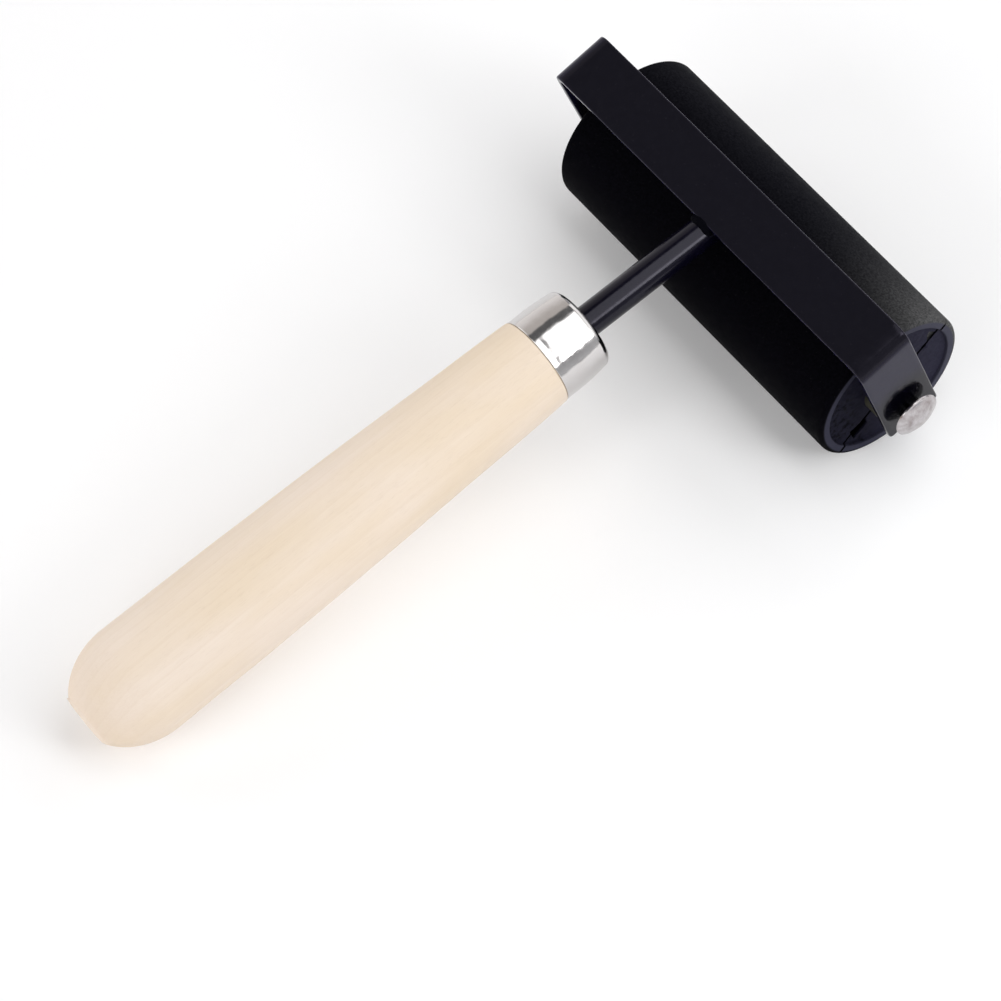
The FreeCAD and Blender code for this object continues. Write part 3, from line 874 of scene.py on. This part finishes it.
def weld_mesh(path, thickness, ripple, waves, phase, lumps):
    """A weld along the path's points, tapered at its ends, rippled along it, and lumpy."""
    verts, faces = [], []
    last = len(path) - 1
    side = Vector((0, 0, 1))
    for k, point in enumerate(path):
        along = (path[min(k + 1, last)] - path[max(k - 1, 0)]).normalized()
        side = (side - along * side.dot(along)).normalized()
        other = along.cross(side)
        share = k / last
        wave = 1 + ripple * math.sin(share * TAU * waves + phase)
        radius = thickness * tapered(share) * wave
        for m in range(WELD_SIDES):
            a = m * TAU / WELD_SIDES
            out = side * math.cos(a) + other * math.sin(a)
            lump = 1 + lumps * noise.noise((point + out * radius) * 1.3)
            verts.append(tuple(point + out * radius * lump))
    for row in range(0, last * WELD_SIDES, WELD_SIDES):
        for m in range(WELD_SIDES):
            n = (m + 1) % WELD_SIDES
            faces.append([row + m, row + n, row + WELD_SIDES + n, row + WELD_SIDES + m])
    faces.append(list(range(WELD_SIDES)))
    faces.append([last * WELD_SIDES + m for m in range(WELD_SIDES)])
    return verts, faces


def edge_bead_mesh():
    """The weld bead over the rod, along the strap's edge."""
    distance = (HALF_WIDTH + BEAD_SETBACK + ROD_START.y) / math.cos(RISE)
    centre = ROD_START + ROD_DIRECTION * distance
    up = Vector((0, math.sin(RISE), math.cos(RISE)))
    path = []
    for angle in np.radians(np.linspace(-BEAD_HALF_ANGLE, BEAD_HALF_ANGLE, 61)):
        out = Vector((math.sin(angle), 0, 0)) + up * math.cos(angle)
        path.append(centre + out * BEAD_RING_RADIUS)
    return weld_mesh(path, BEAD_RADIUS, ripple=0.02, waves=5.5, phase=0, lumps=0.03)


def fillet_mesh(side):
    """The weld in the corner between the rod's side and the strap's underside."""
    path = [
        Vector((side * FILLET_SPREAD, FILLET_START_Y + y, STRAP_INNER - FILLET_DROP))
        for y in np.linspace(0, FILLET_LENGTH, 61)
    ]
    return weld_mesh(path, FILLET_RADIUS, ripple=0.08, waves=7, phase=side, lumps=0.14)


# ---- pieces: axle ----

def dome_points(radius, rim, dome, steps, edge):
    """(radius, distance) from a soft rim edge to the pole of a spherical dome."""
    sphere = (radius * radius + dome * dome) / (2 * dome)
    centre = rim + dome - sphere
    limit = math.asin((radius - edge) / sphere)
    crown = [
        (sphere * math.sin(a), centre + sphere * math.cos(a))
        for a in np.linspace(limit, 0, steps)
    ]
    first_height = crown[0][1]
    soft = [
        (radius - edge * (1 - math.cos(a)), first_height - edge * 0.8 * (1 - math.sin(a)))
        for a in np.radians(np.linspace(0, 70, 5))
    ]
    return soft + crown


def rivet_mesh():
    """One long rivet along Z: peened far end, pin, domed head."""
    head = dome_points(HEAD_RADIUS, HEAD_RIM, HEAD_DOME, 22, 0.25)
    peen = dome_points(PEEN_RADIUS, PEEN_RIM, PEEN_DOME, 18, 0.35)
    outline = [(radius, PEEN_FACE - distance) for radius, distance in reversed(peen)]
    outline[0] = (0, outline[0][1])
    outline += [(PEEN_RADIUS, PEEN_FACE - 0.12), (PEEN_RADIUS - 0.12, PEEN_FACE)]
    outline += [(AXLE_RADIUS, PEEN_FACE)]
    outline += [(AXLE_RADIUS, x) for x in np.linspace(PEEN_FACE + 1, HEAD_FACE - 0.6, 40)]
    outline += [(AXLE_RADIUS, HEAD_FACE - 0.05), (AXLE_RADIUS + 0.05, HEAD_FACE)]
    outline += [(HEAD_RADIUS - 0.15, HEAD_FACE)]
    outline += [(HEAD_RADIUS, HEAD_FACE + 0.12)]
    outline += [(radius, HEAD_FACE + distance) for radius, distance in head]
    outline[-1] = (0, outline[-1][1])
    verts, faces = lathe(outline, 128, closed=False)
    beaten = []
    for vert in verts:
        point = Vector(vert)
        if point.z < PEEN_FACE - 0.3:
            point += wander(point * 0.8) * PEEN_DENTS
        elif point.z > HEAD_FACE + 0.3:
            point += wander(point * 0.45) * HEAD_DENTS
        beaten.append(tuple(point))
    return beaten, faces


def ring_mesh(outer, inner, start, end, edge):
    """A ring about Z with softened edges."""
    corners = [(inner, start), (outer, start), (outer, end), (inner, end)]
    return lathe(rounded(corners, edge), 128, closed=True)


# ---- pieces: roller ----

END_CIRCLES = [
    (TUBE_RADIUS, 0), (TUBE_RADIUS + 0.5, 0), (END_RECESS_RADIUS - 0.45, 0),
    (END_RECESS_RADIUS - 0.2, 0.06), (END_RECESS_RADIUS - 0.07, 0.25), (END_RECESS_RADIUS, 0.6),
    (END_RECESS_RADIUS + 0.06, 0.85), (END_RECESS_RADIUS + 0.17, 0.97),
    (END_RECESS_RADIUS + 0.32, 1), (19.4, 1), (END_EDGE_START - 0.05, 1),
]
EDGE_ANGLES = (8, 18, 28, 38, 48, 58, 68, 79, 90)
END_TURNS = 224
WALL_LEAN = 0.06


def end_height(radius):
    """The end face's height below its rim at a radius, with no seam or pocket."""
    if radius > END_EDGE_START:
        across = min(radius - END_EDGE_START, ROLLER_EDGE_RADIUS)
        return math.sqrt(ROLLER_EDGE_RADIUS**2 - across**2) - ROLLER_EDGE_RADIUS
    radii = [circle for circle, _ in END_CIRCLES]
    shares = [share for _, share in END_CIRCLES]
    return -END_RECESS_DEPTH * (1 - float(np.interp(radius, radii, shares)))


def seam_frame(y, z):
    """Places a point along and across the mould seam."""
    along = y * math.cos(SEAM_TURN) + z * math.sin(SEAM_TURN)
    across = -y * math.sin(SEAM_TURN) + z * math.cos(SEAM_TURN)
    return along, across - SEAM_OFFSET


def from_seam(along, across):
    """The (y, z) point at this place along and across the seam."""
    across += SEAM_OFFSET
    return (
        along * math.cos(SEAM_TURN) - across * math.sin(SEAM_TURN),
        along * math.sin(SEAM_TURN) + across * math.cos(SEAM_TURN),
    )


def hollow_inset(corners, along, across):
    """How far a point lies inside a hollow's nearest side, below 0 outside it."""
    insets = []
    for (a0, c0), (a1, c1) in zip(corners, corners[1:] + corners[:1]):
        length = math.hypot(a1 - a0, c1 - c0)
        insets.append(((a1 - a0) * (across - c0) - (c1 - c0) * (along - a0)) / length)
    return min(insets)


def shrunk(corners, inset):
    """A convex outline's corners moved inwards from both of their sides."""
    moved = []
    for k, here in enumerate(corners):
        back = Vector(corners[k - 1]) - Vector(here)
        ahead = Vector(corners[(k + 1) % len(corners)]) - Vector(here)
        half = back.angle(ahead) / 2
        inwards = (back.normalized() + ahead.normalized()).normalized()
        moved.append(tuple(Vector(here) + inwards * inset / math.sin(half)))
    return moved


def end_face_height(y, z):
    """Height of the end face at a point, seam, hollows and roughness included."""
    along, across = seam_frame(y, z)
    radius = math.hypot(y, z)
    height = end_height(radius)
    if TUBE_RADIUS + 0.4 < radius < END_RECESS_RADIUS - 0.3:
        lumps = noise.fractal(Vector((y, z, 0)) * 0.45, 0.8, 2.1, 3)
        calm = 0.4 if across < 0 else 1.0
        height += END_LUMPS * calm * lumps
        bump = math.hypot(along - SEAM_BUMP[0], across - SEAM_BUMP[1])
        height += SEAM_BUMP_HEIGHT * math.exp(-((bump / SEAM_BUMP_RADIUS) ** 2))
    if abs(across) < SEAM_WIDTH / 2 - WALL_LEAN / 2:
        height = min(height, -SEAM_DEPTH)
    for corners, depth in ((POCKET_CORNERS, POCKET_DEPTH), (NOTCH_CORNERS, NOTCH_DEPTH)):
        if hollow_inset(corners, along, across) > WALL_LEAN / 2:
            height = min(height, -depth)
    return height


def end_face_plan():
    """A flat triangulation of the end face that follows its circles, seam and hollows."""
    points, edges, faces = [], [], []

    def add_loop(loop, closed=True):
        first = len(points)
        points.extend(loop)
        edges.extend((first + k, first + k + 1) for k in range(len(loop) - 1))
        if closed:
            edges.append((first + len(loop) - 1, first))

    radii = [circle for circle, _ in END_CIRCLES]
    radii += [END_EDGE_START + ROLLER_EDGE_RADIUS * math.sin(a) for a in np.radians(EDGE_ANGLES)]
    for radius in radii:
        add_loop([
            (radius * math.cos(k * TAU / END_TURNS), radius * math.sin(k * TAU / END_TURNS))
            for k in range(END_TURNS)
        ])
    half = SEAM_WIDTH / 2
    for across in (-half, -half + WALL_LEAN, half - WALL_LEAN, half):
        far = math.sqrt(ROLLER_RADIUS**2 - (across + SEAM_OFFSET) ** 2) * 0.99995
        near = math.sqrt(TUBE_RADIUS**2 - (across + SEAM_OFFSET) ** 2) * 1.0001
        for sign in (-1, 1):
            add_loop([from_seam(sign * near, across), from_seam(sign * far, across)], closed=False)
    for corners in (POCKET_CORNERS, NOTCH_CORNERS):
        for inset in (0, WALL_LEAN):
            add_loop([from_seam(*corner) for corner in shrunk(corners, inset)])
    step = 0.5
    reach = int(END_RECESS_RADIUS / step)
    for row in range(-reach, reach + 1):
        for column in range(-reach, reach + 1):
            y, z = (column + 0.5 * (row % 2)) * step, row * step * 0.87
            if TUBE_RADIUS + 0.7 < math.hypot(y, z) < END_RECESS_RADIUS - 0.7:
                points.append((y, z))
    return delaunay_2d_cdt([Vector(point) for point in points], edges, faces, 0, 1e-5)


def roller_mesh():
    """The moulded rubber: both end faces, the ground outside between them, and the bore."""
    plan, _, triangles, *_ = end_face_plan()
    plan = [tuple(point) for point in plan]
    triangles = [
        face for face in triangles
        if math.hypot(*np.mean([plan[v] for v in face], axis=0)) > TUBE_RADIUS - 0.01
    ]
    count = len(plan)
    heights = [end_face_height(y, z) for y, z in plan]
    verts = [(-z, y, HALF_LENGTH + h) for (y, z), h in zip(plan, heights)]
    verts += [(-z, y, -HALF_LENGTH - h) for (y, z), h in zip(plan, heights)]
    faces = [list(face) for face in triangles]
    faces += [[v + count for v in reversed(face)] for face in triangles]
    borders = {}
    for face in triangles:
        for a, b in zip(face, face[1:] + face[:1]):
            borders[(a, b)] = (b, a) not in borders
            if (b, a) in borders:
                borders[(b, a)] = False

    def border(low, high):
        return [
            pair for pair, is_open in borders.items()
            if is_open and low < math.hypot(*plan[pair[0]]) < high
        ]

    stations = np.linspace(HALF_LENGTH - 3, 3 - HALF_LENGTH, 48)
    outer = border(ROLLER_RADIUS - 0.5, math.inf)
    join_ends(verts, faces, plan, outer, stations, count)
    inner = border(0, TUBE_RADIUS + 0.5)
    join_ends(verts, faces, plan, inner, stations[::8], count)
    return verts, faces


def join_ends(verts, faces, plan, border, stations, count):
    """Walls between the two ends along a border of their plan, with a ring at each station."""
    columns = {}
    for v in sorted({v for pair in border for v in pair}):
        y, z = plan[v]
        first = len(verts)
        verts += [(-z, y, station) for station in stations]
        columns[v] = [v, *range(first, len(verts)), v + count]
    for a, b in border:
        for k in range(len(stations) + 1):
            faces.append([columns[b][k], columns[a][k], columns[a][k + 1], columns[b][k + 1]])


# ---- assembling ----

def ring_piece(name, radii, ends, edge, body, node, material):
    """A ring on the axle, between two places along it."""
    mesh = ring_mesh(*radii, *sorted(ends), edge)
    piece(name, mesh, ROLLER_PLACE, body, [node], material)


def build_pieces():
    """Every piece of the tool, each in the stead of its CAD node."""
    wood, nickel, satin_nickel = wood_material(), nickel_material(), satin_nickel_material()
    gloss, satin, steel = gloss_paint_material(), satin_paint_material(), steel_material()
    rubber, nylon, dull = rubber_material(), nylon_material(), weld_paint_material()
    piece("turned_handle", handle_mesh(), HANDLE_PLACE, "frame", ["handle"], wood)
    piece("plated_ferrule", ferrule_mesh(), HANDLE_PLACE, "frame", ["ferrule"], nickel)
    piece("painted_rod", rod_mesh(), ROD_PLACE, "frame", ["shank_rod"], gloss)
    strap = piece("bent_strap", strap_mesh(), TOOL, "frame", ["strap_frame"], satin)
    drill(strap, RUNNING_BORE, STRAP_HALF_SPAN + 2)
    piece("edge_weld", edge_bead_mesh(), TOOL, "frame", ["weld_edge_bead"], dull)
    for name, side in (("near", 1), ("far", -1)):
        fillet = fillet_mesh(side)
        node = f"weld_fillet_{name}"
        piece(f"fillet_weld_{name}", fillet, TOOL, "frame", [node], dull)
        washer_start = TUBE_END + FACE_GAP
        washer_end = washer_start + THRUST_WASHER_THICKNESS
        ring_piece(
            f"pressed_washer_{name}", (THRUST_WASHER_RADIUS, RUNNING_BORE),
            (side * washer_start, side * washer_end), THRUST_WASHER_EDGE,
            "thrust_washers", f"thrust_washer_{name}", steel,
        )
        ring_piece(
            f"bearing_bush_{name}", (TUBE_BORE_RADIUS - PRESS_GAP, RUNNING_BORE),
            (side * (TUBE_END - BUSH_LENGTH), side * TUBE_END), BUSH_EDGE,
            "roller", f"bush_{name}", nylon,
        )
    rivet = rivet_mesh()
    piece("long_rivet", rivet, ROLLER_PLACE, "rivet", ["axle_rivet"], satin_nickel)
    washer_end = -STRAP_HALF_SPAN - FACE_GAP
    ring_piece(
        "rivet_washer", (PEEN_WASHER_RADIUS, RUNNING_BORE),
        (washer_end - PEEN_WASHER_THICKNESS, washer_end), PEEN_WASHER_EDGE,
        "rivet_washer", "peen_washer", satin_nickel,
    )
    roller = roller_mesh()
    piece("moulded_roller", roller, ROLLER_PLACE, "roller", ["rubber_roller"], rubber)
    ring_piece(
        "spacer_tube", (TUBE_RADIUS - PRESS_GAP, TUBE_BORE_RADIUS), (-TUBE_END, TUBE_END),
        TUBE_EDGE, "roller", "core_tube", nylon,
    )


# ---- stage ----

def build_floor():
    """A wide sheet of paper that the tool lies on."""
    mesh = bpy.data.meshes.new("floor")
    corners = [(x * FLOOR_HALF, y * FLOOR_HALF, 0) for x, y in ((-1, -1), (1, -1), (1, 1), (-1, 1))]
    mesh.from_pydata(corners, [], [(0, 1, 2, 3)])
    mesh.materials.append(floor_material())
    floor = add_object("floor", mesh)


def soft_light(name, direction, distance, width, height, radiance, colour=(1, 1, 1), aside=0.0):
    """An area light of this radiance, in a direction from the tool's middle or from aside of it."""
    light = bpy.data.lights.new(name, "AREA")
    light.shape = "RECTANGLE"
    light.size = width
    light.size_y = height
    light.energy = radiance * math.pi * width * height
    light.color = colour
    lamp = add_object(name, light)
    back = Vector(direction).normalized()
    across = Vector((0, 1, 0)) if abs(back.y) < 0.7 else Vector((1, 0, 0))
    across = (across - back * across.dot(back)).normalized()
    target = Vector((0, aside, 0.02))
    lamp.matrix_world = axes_place(across, back.cross(across), back, target + back * distance)
    lamp.visible_camera = False


def build_lights():
    """A large softbox overhead with a brighter one at its edge, a warm wall to the left, and
    fills to the left, behind and in front, under a sky that darkens upwards."""
    world = bpy.data.worlds.new("studio")
    bpy.context.scene.world = world
    world.use_nodes = True
    nodes, links = world.node_tree.nodes, world.node_tree.links
    coords = nodes.new("ShaderNodeTexCoord")
    parts = nodes.new("ShaderNodeSeparateXYZ")
    sky = nodes.new("ShaderNodeValToRGB")
    links.new(coords.outputs["Generated"], parts.inputs["Vector"])
    links.new(parts.outputs["Z"], sky.inputs["Fac"])
    links.new(sky.outputs["Color"], nodes["Background"].inputs["Color"])
    elements = sky.color_ramp.elements
    for position, _ in SKY_LEVELS[1:-1]:
        elements.new(position)
    for element, (position, level) in zip(elements, SKY_LEVELS):
        element.position = position
        element.color = (level * 0.96, level * 0.97, level, 1)
    soft_light("key", (0.29, 0, 0.96), 0.9, 0.42, 1.04, 2.1, aside=0.20)
    soft_light("key_edge", (0.81, 0, 0.59), 0.8, 0.36, 0.22, 6.5, aside=0.28)
    soft_light("left_wall", (-0.89, 0.06, 0.45), 1.1, 1.4, 1.15, 0.50, (1.0, 0.93, 0.87))
    soft_light("left_fill", (-0.80, -0.45, 0.40), 1.0, 0.5, 0.6, 1.3)
    soft_light("back_fill", (0.10, 0.78, 0.62), 1.0, 1.6, 0.8, 1.1)
    soft_light("front_fill", (0.10, -0.87, 0.48), 1.0, 1.0, 0.5, 2.8)


def build_camera():
    """The camera, 0.87 m above the table beside the roller's near end, looking down on the tool."""
    data = bpy.data.cameras.new("camera")
    data.sensor_width = 36.0
    data.lens = LENS_MM
    data.clip_start = 0.05
    data.clip_end = 20.0
    camera = add_object("camera", data)
    back = -CAMERA_AHEAD.normalized()
    right = (CAMERA_RIGHT - back * CAMERA_RIGHT.dot(back)).normalized()
    camera.matrix_world = axes_place(right, back.cross(right), back, CAMERA_SPOT)
    bpy.context.scene.camera = camera


build_camera()
build_floor()
build_lights()
build_pieces()
bpy.context.scene.view_settings.view_transform = "Standard"
